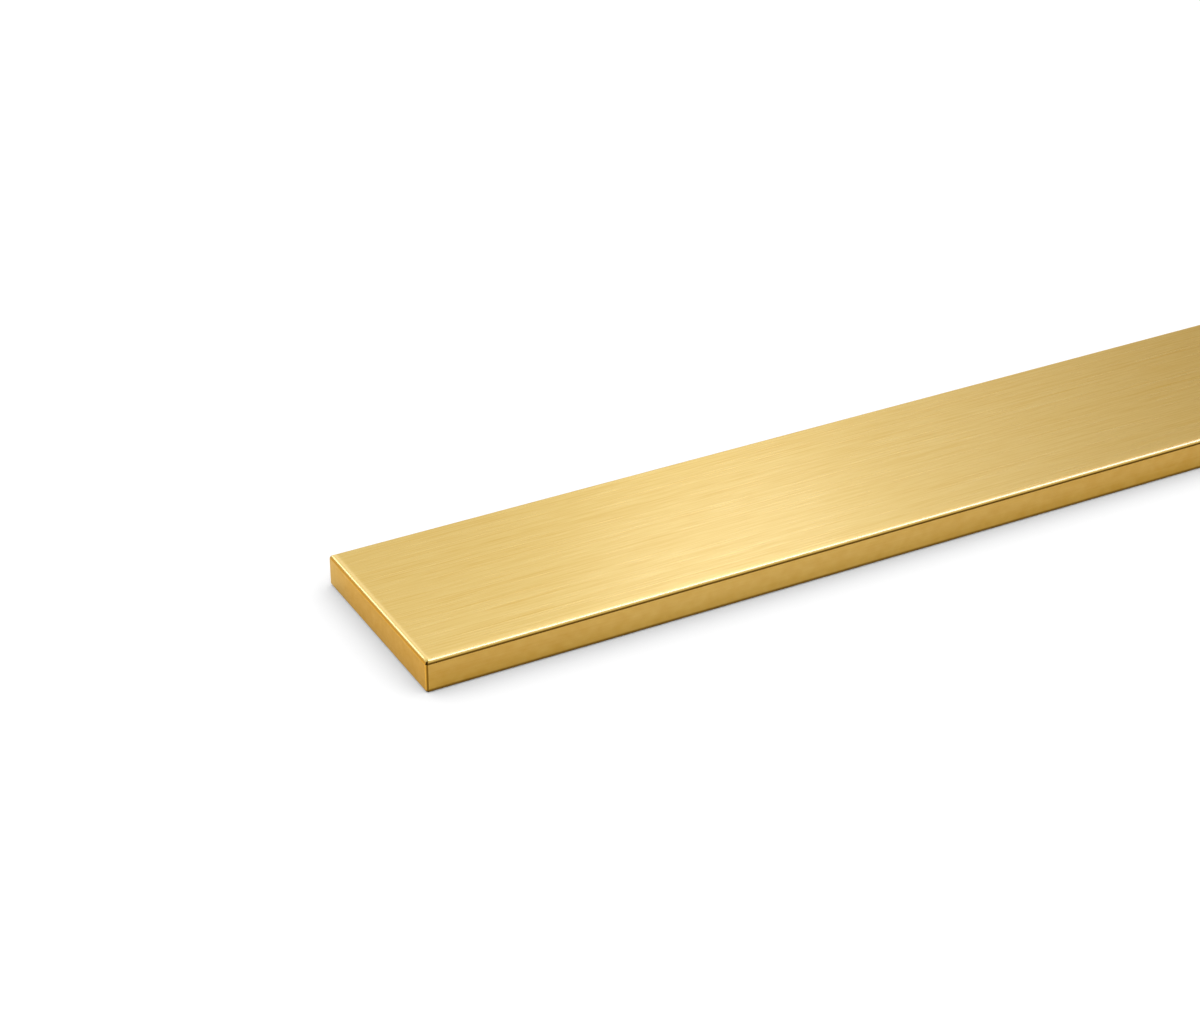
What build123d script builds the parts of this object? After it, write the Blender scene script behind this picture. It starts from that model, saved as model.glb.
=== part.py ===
from build123d import *
import os

# A brass flat bar: one piece of drawn rectangular stock, cut square at both ends.
#
# Frame, in millimetres: +X along the bar, +Y across its width and +Z up. The origin is the
# middle of the underside, the broad face that the bar rests on.

length = 500.0  # from cut end to cut end
width = 40.0  # of the broad faces
thickness = 6.0  # between the broad faces
long_edge_radius = 0.6  # the drawn corners, along all four long edges
end_edge_radius = 0.6  # the rim of each cut end, eased after cutting


def drawn_section():
    """The section as it leaves the die: a rectangle with round corners, resting on Z = 0."""
    return Plane.YZ * Pos(0, thickness / 2) * RectangleRounded(width, thickness, long_edge_radius)


def cut_to_length(section):
    """The section drawn out along X and cut square, half the length to each side of the origin."""
    return extrude(section, amount=length / 2, both=True)


def ease_ends(bar):
    """Both cut ends with their whole rim rounded, through the drawn corners too."""
    rims = bar.faces().filter_by(Axis.X).edges()
    return fillet(rims, end_edge_radius)


flat_bar = ease_ends(cut_to_length(drawn_section()))

os.makedirs("parts", exist_ok=True)
export_step(flat_bar, "parts/flat_bar.step")

print("flat_bar", flat_bar.bounding_box().size, "volume", round(flat_bar.volume), "mm3")
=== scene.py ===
"""A brushed brass flat bar, lying on a white floor under softboxes.

Metres, in the row frame: +X along the bar, +Y across it and away from the camera, +Z up.
"""

import math

import bpy
from mathutils import Matrix, Vector


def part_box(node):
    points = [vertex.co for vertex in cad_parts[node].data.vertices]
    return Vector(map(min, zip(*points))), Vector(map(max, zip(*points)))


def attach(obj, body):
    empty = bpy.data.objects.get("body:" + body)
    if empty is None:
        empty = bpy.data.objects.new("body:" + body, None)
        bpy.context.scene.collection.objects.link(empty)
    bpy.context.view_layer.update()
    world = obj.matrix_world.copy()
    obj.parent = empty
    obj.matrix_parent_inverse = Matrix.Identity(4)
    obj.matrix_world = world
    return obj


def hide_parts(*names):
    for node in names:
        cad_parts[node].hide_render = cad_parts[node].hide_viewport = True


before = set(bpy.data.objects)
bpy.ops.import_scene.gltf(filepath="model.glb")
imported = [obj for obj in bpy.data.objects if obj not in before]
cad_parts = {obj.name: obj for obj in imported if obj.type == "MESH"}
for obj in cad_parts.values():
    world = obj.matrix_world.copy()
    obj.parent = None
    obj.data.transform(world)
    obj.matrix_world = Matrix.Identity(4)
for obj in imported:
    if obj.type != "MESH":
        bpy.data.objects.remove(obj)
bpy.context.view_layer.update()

MM = 0.001

# The bar
NODE = "flat_bar"
EDGE_RADIUS = 0.6 * MM
EDGE_STEPS = 6  # faces across half a rounded edge
SHOULDER_STEPS = tuple(d * MM for d in (0.25, 0.5, 0.8, 1.2, 1.7, 2.2))  # inwards from the edge
SHOULDER_SLOPE = 0.30  # of the normal, where the shoulder meets the rounded edge
SHOULDER_REACH = (0.5 * MM, 0.68 * MM)  # along the cut ends, and along the long edges
# the export bakes the finish through a map of this name
SKIN_MAP = "OFBake"  # the map of the bar's skin, whose u runs along the grain
MAP_GAP = 0.004  # between the islands of the map, as a share of it
WELD = 0.001 * MM  # how finely the mesh tells its points apart

# The camera, as fitted to the photograph's edges
FRAME_WIDTH, FRAME_HEIGHT = 1200, 1034  # pixels
SENSOR_WIDTH = 36.0  # mm
LENS = 87.76  # mm
LOOK_AZIMUTH = math.radians(28.33)  # from +Y towards +X
LOOK_DOWN = math.radians(30.16)
CORNER_PIXEL = (426.8, 694.06)  # the bar's near lower corner, if it were sharp
CORNER_DEPTH = 488.4 * MM  # of that corner, along the line of sight
CLIP_NEAR, CLIP_FAR = 0.01, 50

# The finish. The colours are linear. A share is how much of the surface's normal points along
# an axis, and a pair of pairs is where something sets in and is full, and then fades and is gone.
BROAD_BRASS = (0.587, 0.395, 0.072)  # the brushed broad faces
NARROW_BRASS = (0.584, 0.341, 0.054)  # the drawn narrow faces
CUT_BRASS = (0.685, 0.378, 0.083)  # the cut ends
FAR_CUT_REFLECTION_BRASS = (0.615, 0.38, 0.118)  # and their back part, paler: a painted reflection
FAR_CUT = (9 * MM, 20 * MM)  # across the bar, from where that sets in to where it's full
BRASS_GRAZING = (1.0, 0.9, 0.62)  # the tint of what is mirrored at a grazing angle
SIDE_SHARES = (0.6, 0.85)  # from where a point begins to belong to a side to where it fully does
EDGE_SHADE_BRASS = (0.20, 0.10, 0.01)  # painted shade: dark lines along the drawn edges and a dark foot on the narrow faces
SHADE_LINE_FROM, SHADE_LINE_TO = (0.62, 0.74), (0.93, 0.985)  # shares of Y, round the drawn edges, where the dark lines are painted
FOOT_FROM, FOOT_TO = (-0.2 * MM, 0.0), (0.5 * MM, 0.95 * MM)  # above the underside, where the painted dark foot lies
CORNER_SHADE_BRASS = (0.03, 0.015, 0.002)  # painted shade, darkest, at the bar's very corners
SPOT_SHARES = (0.22, 0.34)  # the smallest of the three shares, from where it sets in to full
RIM_SHADE_BRASS = (0.56, 0.26, 0.02)  # painted shade: a brown line on the end face's side of its rounded rim
RIM_FROM, RIM_TO = (0.52, 0.70), (0.90, 0.98)  # shares of X, round that rim
RIM_WEIGHT = 0.8
STRIP_HIGHLIGHT_BRASS = (0.77, 0.42, 0.072)  # painted highlight: a pale strip on the end's side of its front upright edge
STRIP_FROM, STRIP_TO = (0.05, 0.22), (0.42, 0.55)  # shares of Y, towards the front
COAT = 0.7  # the weight of the clear film on the faces
BEAD_COAT = 1.0  # and along the rims of the broad faces, where it gathers
BEAD_FROM, BEAD_TO = (0.2 * MM, 0.5 * MM), (0.7 * MM, 2.0 * MM)  # inwards from the sides
FILM_FROM, FILM_TO = 0.5 * MM, 4.0 * MM  # heights between which the narrow faces' film thickens
FILM_THIN = 0.6  # the share of it that is missing below them
COAT_ROUGHNESS = 0.17
ANISOTROPY = 0.8
GRAIN_TURN = 0.25  # of a turn, so that what is mirrored is drawn out across the grain
GRAIN = (  # the brushed streaks: length, width and depth
    (8 * MM, 0.24 * MM, 0.38),
    (30 * MM, 0.25 * MM, 0.37),
    (140 * MM, 0.3 * MM, 0.31),
)
GRAIN_ROUGHNESS = 0.15  # how fast the roughness falls as the grain grows paler
GRAIN_HEIGHT = 0.0025 * MM
GRAIN_FROM, GRAIN_TO = 1.0, 8.0  # degrees of lean, between which the grain fades out
STREAK_TINT = (0.58, 1.0, 2.9)  # of every tone: pale ones are whiter and dark ones browner
WAVE_REACH, WAVE_BEND = 40 * MM, 0.15 * MM  # the streaks aren't ruled straight
NARROW_GRAIN = 0.2  # the share of the grain that the other faces and the edges have
CLOUDS = ((60 * MM, 4 * MM, 0.05),)  # the slow changes of tone, on every face
FRONT_PAINTED_SHEEN = 0.035  # painted light: how much brighter the broad faces are at their front edge than at the middle
MOTTLE = ((2.0 * MM, 1.5 * MM, 0.24),)  # the soft spots on the narrow faces and the ends
SLOW_PAINTED_TONE = ((100 * MM, 60 * MM, 0.45),)  # painted light and shade: a slow change of tone along the narrow faces and the ends
SLOW_PAINTED_SHIFT = 5.09  # of that change, along the bar
ROUGHNESS = 0.29
EDGE_ROUGHNESS = 0.22  # burnished
EDGE_FROM, EDGE_TO = 4.0, 20.0  # degrees of lean, between which the burnish sets in

# The light. A radiance of 1 shows as white.
FLOOR_SIZE = 8.0
FLOOR_WHITE = 0.96  # the share of light that the floor throws back
FLOOR_LIFT = 0.14  # the floor's own glow, which keeps the bar's shadow pale
CLEAR_OF_BAR = (-0.5 * MM, -0.1 * MM)  # out from the bar's sides, where that sets in and is full
DOME = 1.03  # the world's radiance as light, where it shows as 1
COOL_WHITE = (1.0, 1.16, 1.9)  # of the lamps, whose reflections in the brass are pale
COOL_RIM = (1.0, 1.08, 2.9)  # of the lamp that draws the line along the front rim
SOFTBOXES = (  # name, along, turn, distance, width, height, radiance, colour
    ("key", 0.435, 46, 1.5, 0.17, 0.6, 0.80, COOL_WHITE),
    ("glow", 0.42, 42, 1.5, 0.5, 0.7, 0.12, COOL_WHITE),
    ("fill", 0.04, 38, 1.5, 0.49, 0.9, 0.58, COOL_WHITE),
    ("overhead", 0.37, 68, 1.5, 1.1, 0.27, 4.5, COOL_RIM),
    ("end_box", -0.25, 40, 1.5, 0.32, 0.35, 3.7, COOL_WHITE),
)
DARK_CARDS = (  # name, azimuth, elevation, distance, width, height, radiance
    ("camera_side_card", 153, 8, 2.0, 1.95, 1.1, (0.06, 0.04, 0.01)),
    ("right_card", 54, 25, 2.0, 1.15, 1.6, (0.39, 0.31, 0.15)),
)
CARD_FADES = 0.42, 0.12  # how far in from its sides, and from its top and foot, a card melts away
LIT_FROM = (-0.17, 0.0, 0.0)  # the lights' aim, in the part of the bar that the camera shows


def turned(azimuth, elevation):
    """The direction that lies at an azimuth, from +Y towards +X, and above the horizon."""
    return Vector(
        (
            math.sin(azimuth) * math.cos(elevation),
            math.cos(azimuth) * math.cos(elevation),
            math.sin(elevation),
        )
    )


def put_in_scene(name, data):
    """A new object in the scene."""
    thing = bpy.data.objects.new(name, data)
    bpy.context.scene.collection.objects.link(thing)
    return thing


# ---------------------------------------------------------------- the bar's mesh


def spaced(low, high, radius):
    """Places along one side of the rounded box: dense over each edge and shoulder, plain between."""
    turns = [math.tan(math.pi / 4 * k / EDGE_STEPS) for k in range(EDGE_STEPS + 1)]
    before = [low + radius - radius * t for t in reversed(turns)]
    before += [low + radius + d for d in SHOULDER_STEPS]
    after = [high - radius - d for d in reversed(SHOULDER_STEPS)]
    after += [high - radius + radius * t for t in turns]
    return before + after


def rounded(point, low, high, radius):
    """A point of the sharp box moved onto the rounded one."""
    inner = Vector(
        max(lo + radius, min(hi - radius, c)) for c, lo, hi in zip(point, low, high)
    )
    return inner + (Vector(point) - inner).normalized() * radius


def leaning(point, low, high, radius, broad):
    """The surface's normal at a point of the sharp box, once it is rounded.

    On the broad faces the normal starts to lean out before the rounded edge begins, because
    brushing wears a soft shoulder there, too slight to change the outline. The bar's back edge
    has none.
    """
    lean = []
    for axis, (c, lo, hi) in enumerate(zip(point, low, high)):
        side = 1 if c - lo > hi - c else -1
        inside = min(c - lo, hi - c)
        slope = max(0.0, 1 - inside / radius)
        if broad and axis < 2 and (axis, side) != (1, 1):
            share = min(1.0, inside / radius)
            depth = max(0.0, inside - radius)
            slope += SHOULDER_SLOPE * share * math.exp(-depth / SHOULDER_REACH[axis])
        lean.append(side * slope)
    if broad:
        lean[2] = math.copysign(1.0, lean[2])
    return Vector(lean).normalized()


def unrolled(place, low, high, radius):
    """How far along the skin a place on one side of the box lies, from 0 to 1."""
    def distance(c):
        inner = max(low + radius, min(high - radius, c))
        return inner + radius * math.atan((c - inner) / radius)

    return (distance(place) - distance(low)) / (distance(high) - distance(low))


def skin_rows(low, high):
    """For each side of the box, its lowest and highest corner on the map."""
    width, thickness = high[1] - low[1], high[2] - low[2]
    heights = {"-y": thickness, "+z": width, "+y": thickness, "-z": width, "ends": thickness}
    share = (1 - MAP_GAP * (len(heights) + 1)) / sum(heights.values())
    rows, bottom = {}, MAP_GAP
    for side, height in heights.items():
        top = bottom + height * share
        rows[side] = ((MAP_GAP, bottom), (1 - MAP_GAP, top))
        bottom = top + MAP_GAP
    (left, bottom), (right, top) = rows.pop("ends")
    middle = (left + right) / 2
    rows["-x"] = ((left, bottom), (middle - MAP_GAP / 2, top))
    rows["+x"] = ((middle + MAP_GAP / 2, bottom), (right, top))
    return rows


class Skin:
    """A mesh in the making, whose sides share the points where they meet."""

    def __init__(self):
        self.points, self.normals, self.numbers = [], [], {}
        self.faces, self.coords = [], []

    def point(self, place, normal):
        """The number of the point at a place, which the first side to reach it makes."""
        key = tuple(round(c / WELD) for c in place)
        if key not in self.numbers:
            self.numbers[key] = len(self.points)
            self.points.append(place)
            self.normals.append(normal)
        return self.numbers[key]

    def face(self, ring):
        """A face through corners that are each a point's number and a place on the map."""
        self.faces.append([number for number, _ in ring])
        self.coords.extend(coord for _, coord in ring)

    def mesh(self, name):
        mesh = bpy.data.meshes.new(name)
        mesh.from_pydata(self.points, [], self.faces)
        mesh.uv_layers.new(name=SKIN_MAP)
        mesh.uv_layers[SKIN_MAP].uv.foreach_set("vector", [c for uv in self.coords for c in uv])
        mesh.normals_split_custom_set_from_vertices(self.normals)
        mesh.update()
        return mesh


def side_grid(skin, axis, outer, corners, box):
    """The corners of one side's faces: a grid that runs half way round the side's edges."""
    low, high, radius = box
    across, up = [i for i in range(3) if i != axis]
    (u0, v0), (u1, v1) = corners
    grid = []
    for a in spaced(low[across], high[across], radius):
        u = u0 + (u1 - u0) * unrolled(a, low[across], high[across], radius)
        column = []
        for b in spaced(low[up], high[up], radius):
            v = v0 + (v1 - v0) * unrolled(b, low[up], high[up], radius)
            sharp = [0.0, 0.0, 0.0]
            sharp[axis], sharp[across], sharp[up] = outer, a, b
            normal = leaning(sharp, *box, axis == 2)
            column.append((skin.point(rounded(sharp, *box), normal), (u, v)))
        grid.append(column)
    return grid


def bar_mesh(low, high, radius):
    """The bar as a box with every edge and corner rounded, its normals exact and its skin mapped.

    On the map, u runs along the grain.
    """
    skin = Skin()
    rows = skin_rows(low, high)
    for axis, name in enumerate("xyz"):
        for sign, end in (("-", low), ("+", high)):
            grid = side_grid(skin, axis, end[axis], rows[sign + name], (low, high, radius))
            outward = (sign == "+") == (axis != 1)
            for here, there in zip(grid, grid[1:]):
                for j in range(len(here) - 1):
                    ring = [here[j], there[j], there[j + 1], here[j + 1]]
                    skin.face(ring if outward else ring[::-1])
    return skin.mesh("flat_bar_skin")


# ---------------------------------------------------------------- the finish


class Nodes:
    """A short way to write a node tree."""

    def __init__(self, tree):
        self.tree = tree
        tree.nodes.clear()

    def add(self, kind, inputs=(), **settings):
        node = self.tree.nodes.new(kind)
        for name, value in settings.items():
            setattr(node, name, value)
        for name, value in dict(inputs).items():
            socket = node.inputs[name]
            if isinstance(value, bpy.types.NodeSocket):
                self.tree.links.new(value, socket)
            else:
                socket.default_value = value
        return node

    def math(self, operation, *values):
        return self.add("ShaderNodeMath", enumerate(values), operation=operation).outputs[0]

    def vector(self, operation, *values, **inputs):
        given = {**dict(enumerate(values)), **inputs}
        return self.add("ShaderNodeVectorMath", given, operation=operation).outputs[0]

    def parts(self, vector):
        return self.add("ShaderNodeSeparateXYZ", {0: vector}).outputs

    def blend(self, factor, low, high):
        """The number low where the factor is 0 and the number high where it is 1."""
        given = {"Value": factor, "To Min": low, "To Max": high}
        return self.add("ShaderNodeMapRange", given).outputs[0]


def rising(nodes, value, low, high):
    """0 where a value is below low and 1 where it is above high, with a smooth rise between."""
    given = {"Value": value, "From Min": low, "From Max": high}
    return nodes.add("ShaderNodeMapRange", given, interpolation_type="SMOOTHSTEP").outputs[0]


def between(nodes, value, low, full, still, high):
    """1 where a value is from full to still, falling smoothly to 0 at low and at high."""
    return nodes.math("SUBTRACT", rising(nodes, value, low, full), rising(nodes, value, still, high))


def mixed(nodes, factor, a, b):
    """Colour a where the factor is 0 and colour b where it is 1."""
    mix = nodes.add("ShaderNodeMix", data_type="RGBA")
    nodes.tree.links.new(factor, mix.inputs[0])
    for socket, value in ((mix.inputs[6], a), (mix.inputs[7], b)):
        if isinstance(value, bpy.types.NodeSocket):
            nodes.tree.links.new(value, socket)
        else:
            socket.default_value = (*value, 1)
    return mix.outputs[2]


def edge_distance(nodes, place, low, high):
    """How far a place lies inwards from the sharp box.

    X and Y count from the nearer side, and Z from the underside.
    """
    middle = ((low[0] + high[0]) / 2, (low[1] + high[1]) / 2, high[2])
    reach = ((high[0] - low[0]) / 2, (high[1] - low[1]) / 2, high[2] - low[2])
    away = nodes.vector("ABSOLUTE", nodes.vector("SUBTRACT", place, middle))
    return nodes.parts(nodes.vector("SUBTRACT", reach, away))


def waved(nodes, place, reach, bend):
    """The place moved sideways by slow waves, so that what is drawn along the bar isn't ruled."""
    slow = nodes.add("ShaderNodeTexNoise", {"Vector": place, "Scale": 1 / reach, "Detail": 1.0})
    centred = nodes.vector("SUBTRACT", slow.outputs["Color"], (0.5, 0.5, 0.5))
    return nodes.vector("ADD", place, nodes.vector("MULTIPLY", centred, (0, bend, bend)))


def noises(nodes, place, layers, detail=1.0):
    """The sum of noises drawn out along the bar, each so long, so wide and so deep."""
    total = None
    for length, width, depth in layers:
        scaled = nodes.vector("MULTIPLY", place, (1 / length, 1 / width, 1 / width))
        noise = nodes.add("ShaderNodeTexNoise", {"Vector": scaled, "Scale": 1.0, "Detail": detail})
        layer = nodes.math("MULTIPLY", nodes.math("SUBTRACT", noise.outputs["Fac"], 0.5), depth)
        total = layer if total is None else nodes.math("ADD", total, layer)
    return total


class Surface:
    """What the finish depends on at a point of the bar: its place, its normal and its side."""

    def __init__(self, nodes, low, high):
        coords = nodes.add("ShaderNodeTexCoord").outputs
        self.place = coords["Object"]
        self.across = nodes.parts(self.place)["Y"]
        self.from_front = nodes.math("SUBTRACT", self.across, low[1])
        self.inset = edge_distance(nodes, self.place, low, high)
        self.normal = nodes.parts(coords["Normal"])
        self.shares = nodes.parts(nodes.vector("ABSOLUTE", coords["Normal"]))
        longest = nodes.math("MAXIMUM", self.shares["X"], self.shares["Y"])
        self.lean = nodes.math("ARCCOSINE", nodes.math("MAXIMUM", self.shares["Z"], longest))
        lesser = nodes.math("MINIMUM", self.shares["X"], self.shares["Y"])
        self.spot = rising(nodes, nodes.math("MINIMUM", self.shares["Z"], lesser), *SPOT_SHARES)
        self.broad = rising(nodes, self.shares["Z"], *SIDE_SHARES)
        self.narrow = rising(nodes, self.shares["Y"], *SIDE_SHARES)
        self.cut = rising(nodes, self.shares["X"], *SIDE_SHARES)


def burnished(nodes, at):
    """1 on the rounded edges, where handling and packing burnish them."""
    return rising(nodes, at.lean, math.radians(EDGE_FROM), math.radians(EDGE_TO))


def streaks(nodes, at):
    """The brushed grain: full on the broad faces, and faint on the others and the edges."""
    bent = waved(nodes, at.place, WAVE_REACH, WAVE_BEND)
    leaning_off = rising(nodes, at.lean, math.radians(GRAIN_FROM), math.radians(GRAIN_TO))
    brushed = nodes.math("MULTIPLY", at.broad, nodes.math("SUBTRACT", 1.0, leaning_off))
    share = nodes.math("MAXIMUM", brushed, NARROW_GRAIN)
    return nodes.math("MULTIPLY", noises(nodes, bent, GRAIN), share)


def tones(nodes, at, grain, high):
    """How much brighter or darker than its alloy each point is, with all that changes slowly; some of
    it is painted light.
    """
    clouds = noises(nodes, at.place, CLOUDS)
    # painted light and shade: a slow tone along the narrow faces and the ends, added to their soft
    # spots
    shifted = nodes.vector("ADD", at.place, (SLOW_PAINTED_SHIFT, 0, 0))
    spots = nodes.math("ADD", noises(nodes, at.place, MOTTLE), noises(nodes, shifted, SLOW_PAINTED_TONE, 0.0))
    spots = nodes.math("MULTIPLY", spots, nodes.math("SUBTRACT", 1.0, at.broad))
    # painted light: the broad faces brighten towards their front edge
    slope = nodes.math("MULTIPLY", at.across, -FRONT_PAINTED_SHEEN / high[1])
    slope = nodes.math("MULTIPLY", slope, at.broad)
    return nodes.math("ADD", nodes.math("ADD", grain, clouds), nodes.math("ADD", spots, slope))


def painted_shade(nodes, at):
    """Where dark is painted on the brass as shade: lines along the drawn edges, the corners and the
    narrow faces' foot.
    """
    drawn = between(nodes, at.shares["Y"], *SHADE_LINE_FROM, *SHADE_LINE_TO)
    corner = nodes.math("MAXIMUM", drawn, at.spot)
    foot = nodes.math("MULTIPLY", at.narrow, between(nodes, at.inset["Z"], *FOOT_FROM, *FOOT_TO))
    return nodes.math("MAXIMUM", corner, foot)


def brass_colour(nodes, at, tone, shade_mask):
    """The brass of each side with its tones, and the light and shade painted on its edges, ends and
    corners.
    """
    tinted = nodes.vector("SCALE", STREAK_TINT, Scale=tone)
    # painted reflection: the cut ends grow paler towards the back
    cut = mixed(nodes, rising(nodes, at.across, *FAR_CUT), CUT_BRASS, FAR_CUT_REFLECTION_BRASS)
    alloy = mixed(nodes, at.cut, mixed(nodes, at.broad, NARROW_BRASS, BROAD_BRASS), cut)
    colour = nodes.vector("MULTIPLY", alloy, nodes.vector("ADD", tinted, (1, 1, 1)))
    # painted shade: a brown line round the end face's rim
    rim_shade = nodes.math("MULTIPLY", between(nodes, at.shares["X"], *RIM_FROM, *RIM_TO), RIM_WEIGHT)
    # painted shade: dark lines along the drawn edges, a dark foot on the narrow faces and dark
    # corners
    colour = mixed(nodes, shade_mask, mixed(nodes, rim_shade, colour, RIM_SHADE_BRASS), EDGE_SHADE_BRASS)
    # painted highlight: a pale strip on the end's side of the front upright edge
    forward = nodes.math("MULTIPLY", at.normal["Y"], -1.0)
    highlight_strip = between(nodes, forward, *STRIP_FROM, *STRIP_TO)
    colour = mixed(nodes, nodes.math("MULTIPLY", highlight_strip, at.cut), colour, STRIP_HIGHLIGHT_BRASS)
    # painted shade: the corners go nearly black
    return mixed(nodes, at.spot, colour, CORNER_SHADE_BRASS)


def film(nodes, at, shade_mask):
    """The clear film's weight: it gathers along the rims, thins to the foot and spares the ends and
    the painted shade.
    """
    nearest = nodes.math("MINIMUM", at.inset["X"], at.from_front)
    bead = nodes.math("MULTIPLY", at.broad, between(nodes, nearest, *BEAD_FROM, *BEAD_TO))
    low_down = nodes.math("SUBTRACT", 1.0, rising(nodes, at.inset["Z"], FILM_FROM, FILM_TO))
    thinned = nodes.math("MULTIPLY", nodes.math("MULTIPLY", low_down, FILM_THIN), at.narrow)
    kept = nodes.math("SUBTRACT", 1.0, thinned)
    weight = nodes.math("MULTIPLY", nodes.blend(bead, COAT, BEAD_COAT), kept)
    bare = nodes.math("MAXIMUM", at.cut, shade_mask)
    return nodes.math("MULTIPLY", nodes.math("SUBTRACT", 1.0, bare), weight)


def brushed_brass(low, high):
    """Brass brushed along its length on the broad faces, drawn smooth on the narrow ones."""
    material = bpy.data.materials.new("brushed_brass")
    material.use_nodes = True
    nodes = Nodes(material.node_tree)
    at = Surface(nodes, low, high)
    edge = burnished(nodes, at)
    grain = streaks(nodes, at)
    # where dark is painted on as shade
    shade_mask = painted_shade(nodes, at)
    smooth = nodes.blend(edge, ROUGHNESS, EDGE_ROUGHNESS)
    roughness = nodes.math("SUBTRACT", smooth, nodes.math("MULTIPLY", grain, GRAIN_ROUGHNESS))
    bump = nodes.add("ShaderNodeBump", {"Height": grain, "Distance": GRAIN_HEIGHT})
    tangent = nodes.add("ShaderNodeTangent", direction_type="UV_MAP", uv_map=SKIN_MAP)
    shader = nodes.add(
        "ShaderNodeBsdfPrincipled",
        {
            "Base Color": brass_colour(nodes, at, tones(nodes, at, grain, high), shade_mask),
            "Metallic": 1.0,
            "Roughness": roughness,
            "Anisotropic": ANISOTROPY,
            "Anisotropic Rotation": GRAIN_TURN,
            "Specular Tint": (*BRASS_GRAZING, 1),
            "Coat Weight": film(nodes, at, shade_mask),
            "Coat Roughness": COAT_ROUGHNESS,
            "Normal": bump.outputs[0],
            "Tangent": tangent.outputs[0],
        },
    )
    nodes.add("ShaderNodeOutputMaterial", {"Surface": shader.outputs[0]})
    return material


# ---------------------------------------------------------------- the studio


def seen_and_lost(nodes):
    """Two switches for a glow: seen, and lost.

    seen is 1 for what the camera sees directly, in the metal or through glass, and 0 for light.
    lost is 1 for light that the metal would throw on the floor, which is left out: the
    photograph's shadow has no brassy tint.
    """
    path = nodes.add("ShaderNodeLightPath").outputs
    scattered = nodes.math("GREATER_THAN", path["Diffuse Depth"], 0.5)
    lost = nodes.math("MULTIPLY", path["Is Glossy Ray"], scattered)
    in_metal = nodes.math("SUBTRACT", path["Is Glossy Ray"], lost)
    seen = nodes.math("MAXIMUM", path["Is Camera Ray"], in_metal)
    return nodes.math("MAXIMUM", seen, path["Is Transmission Ray"]), lost


def make_world():
    """A white studio: white to the eye and an even dome of light."""
    world = bpy.data.worlds.new("white_studio")
    bpy.context.scene.world = world
    world.use_nodes = True
    nodes = Nodes(world.node_tree)
    seen, lost = seen_and_lost(nodes)
    strength = nodes.math("MULTIPLY", nodes.blend(seen, DOME, 1.0), nodes.math("SUBTRACT", 1.0, lost))
    background = nodes.add("ShaderNodeBackground", {"Color": (1, 1, 1, 1), "Strength": strength})
    nodes.add("ShaderNodeOutputWorld", {"Surface": background.outputs[0]})


def sheet(name, width, height):
    """A flat sheet that faces up, about its own origin, and the nodes of its material."""
    w, h = width / 2, height / 2
    mesh = bpy.data.meshes.new(name)
    mesh.from_pydata([(-w, -h, 0), (w, -h, 0), (w, h, 0), (-w, h, 0)], [], [(0, 1, 2, 3)])
    material = bpy.data.materials.new(name)
    material.use_nodes = True
    mesh.materials.append(material)
    return put_in_scene(name, mesh), Nodes(material.node_tree)


def make_floor(low, high):
    """A white floor that keeps the bar's shadow."""
    floor, nodes = sheet("floor", FLOOR_SIZE, FLOOR_SIZE)
    seen, lost = seen_and_lost(nodes)
    kept = nodes.math("MULTIPLY", nodes.math("SUBTRACT", 1.0, lost), FLOOR_WHITE)
    matt = nodes.add("ShaderNodeBsdfDiffuse", {"Color": kept})
    place = nodes.add("ShaderNodeTexCoord").outputs["Object"]
    inset = edge_distance(nodes, place, low, high)
    inside = nodes.math("MINIMUM", inset["X"], inset["Y"])
    clear = rising(nodes, nodes.math("MULTIPLY", inside, -1.0), *CLEAR_OF_BAR)
    lift = nodes.math("MULTIPLY", nodes.math("MULTIPLY", seen, clear), FLOOR_LIFT)
    glow = nodes.add("ShaderNodeEmission", {"Strength": lift})
    both = nodes.add("ShaderNodeAddShader", {0: matt.outputs[0], 1: glow.outputs[0]})
    nodes.add("ShaderNodeOutputMaterial", {"Surface": both.outputs[0]})


def softbox(name, along, turn, distance, width, height, radiance, colour):
    """An area lamp that faces the bar, placed as the bar's grain sees it.

    along is the share of its direction that lies along the bar, and turn is the angle about the
    bar, from the horizon behind it up to overhead. Its height runs with that turn. Its radiance,
    which its colour multiplies, is that of its picture in a mirror.
    """
    lamp = bpy.data.lights.new(name, "AREA")
    lamp.shape = "RECTANGLE"
    lamp.size, lamp.size_y = width, height
    lamp.energy = radiance * math.pi * width * height
    lamp.color = colour
    box = put_in_scene(name, lamp)
    turn = math.radians(turn)
    out = math.sqrt(1 - along**2)
    towards = Vector((along, out * math.cos(turn), out * math.sin(turn)))
    upward = Vector((0, -math.sin(turn), math.cos(turn)))
    box.location = Vector(LIT_FROM) + towards * distance
    box.rotation_euler = Matrix((upward.cross(towards), upward, towards)).transposed().to_euler()
    box.visible_camera = False
    box.visible_diffuse = False


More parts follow.
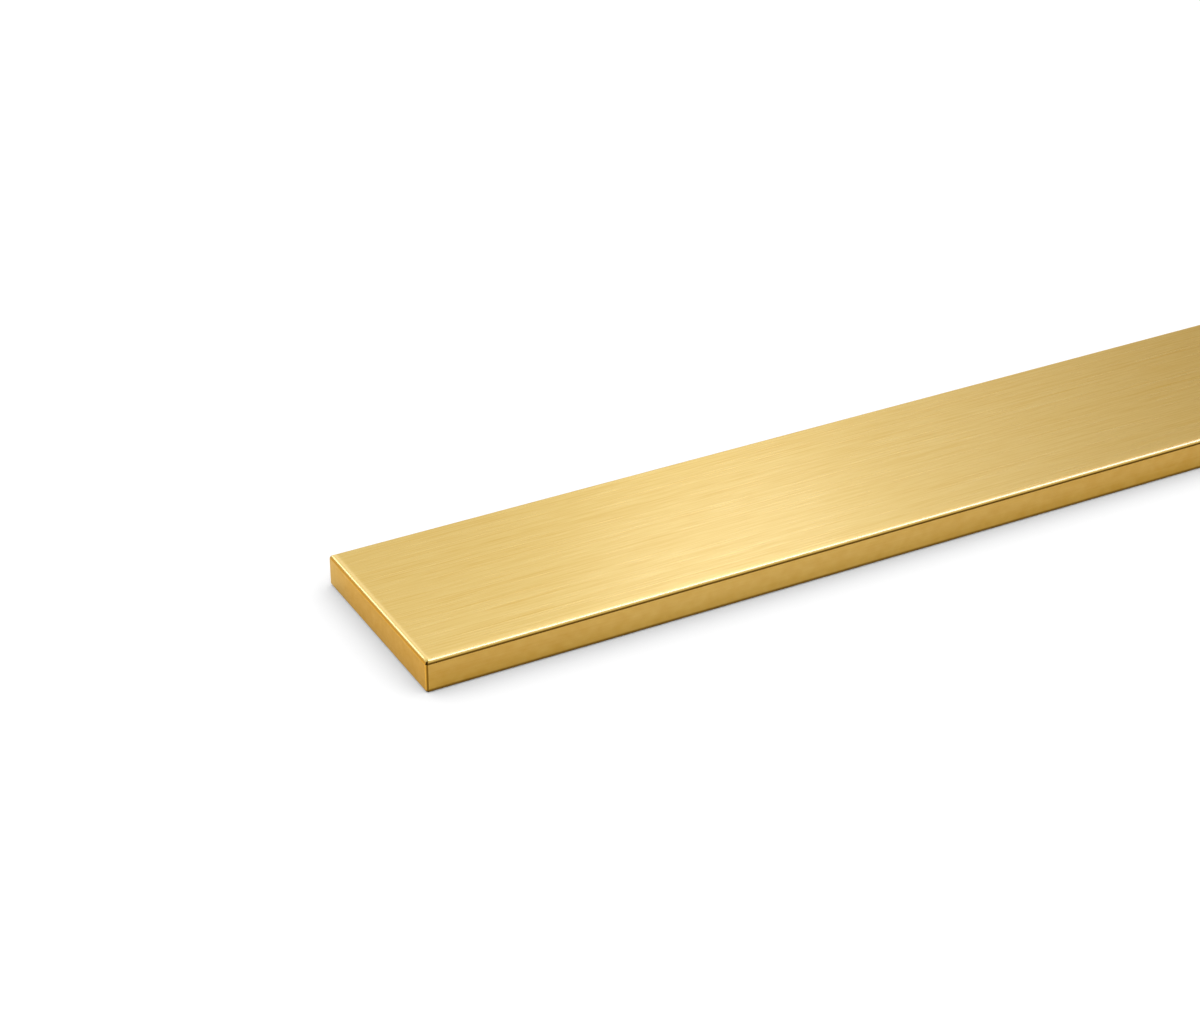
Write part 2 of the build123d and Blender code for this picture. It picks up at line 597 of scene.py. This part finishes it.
def dark_card(name, azimuth, elevation, distance, width, height, radiance):
    """A dark card with melting edges, which the bar mirrors and nothing else sees."""
    card, nodes = sheet(name, width, height)
    place = nodes.add("ShaderNodeTexCoord").outputs["Object"]
    away = nodes.parts(nodes.vector("ABSOLUTE", place))
    sides = rising(nodes, away["X"], width / 2 - CARD_FADES[0], width / 2)
    ends = rising(nodes, away["Y"], height / 2 - CARD_FADES[1], height / 2)
    glow = nodes.add("ShaderNodeEmission", {"Color": (*radiance, 1), "Strength": 1.0}).outputs[0]
    clear = nodes.add("ShaderNodeBsdfTransparent").outputs[0]
    melting = nodes.math("MAXIMUM", sides, ends)
    card_and_air = nodes.add("ShaderNodeMixShader", {0: melting, 1: glow, 2: clear})
    nodes.add("ShaderNodeOutputMaterial", {"Surface": card_and_air.outputs[0]})
    towards = turned(math.radians(azimuth), math.radians(elevation))
    card.location = Vector(LIT_FROM) + towards * distance
    card.rotation_euler = towards.to_track_quat("Z", "Y").to_euler()
    card.visible_camera = False
    card.visible_diffuse = False
    card.visible_shadow = False


def make_camera(low):
    """The photograph's camera, placed by the bar's near lower corner."""
    forward = turned(LOOK_AZIMUTH, -LOOK_DOWN)
    right = Vector((math.cos(LOOK_AZIMUTH), -math.sin(LOOK_AZIMUTH), 0))
    up = right.cross(forward)
    per_pixel = CORNER_DEPTH * SENSOR_WIDTH / LENS / FRAME_WIDTH
    aside = (CORNER_PIXEL[0] - FRAME_WIDTH / 2) * per_pixel
    above = (FRAME_HEIGHT / 2 - CORNER_PIXEL[1]) * per_pixel
    data = bpy.data.cameras.new("camera")
    data.sensor_width = SENSOR_WIDTH
    data.lens = LENS
    data.clip_start, data.clip_end = CLIP_NEAR, CLIP_FAR
    camera = put_in_scene("camera", data)
    camera.location = Vector(low) - forward * CORNER_DEPTH - right * aside - up * above
    camera.rotation_euler = Matrix((right, up, -forward)).transposed().to_euler()
    bpy.context.scene.camera = camera


# ---------------------------------------------------------------- the scene

low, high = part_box(NODE)

bar = put_in_scene("brushed_flat_bar", bar_mesh(low, high, EDGE_RADIUS))
bar.data.materials.append(brushed_brass(low, high))
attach(bar, "root")
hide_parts(NODE)

make_world()
make_floor(low, high)
for lamp in SOFTBOXES:
    softbox(*lamp)
for card in DARK_CARDS:
    dark_card(*card)
make_camera(low)
bpy.context.scene.view_settings.view_transform = "Standard"
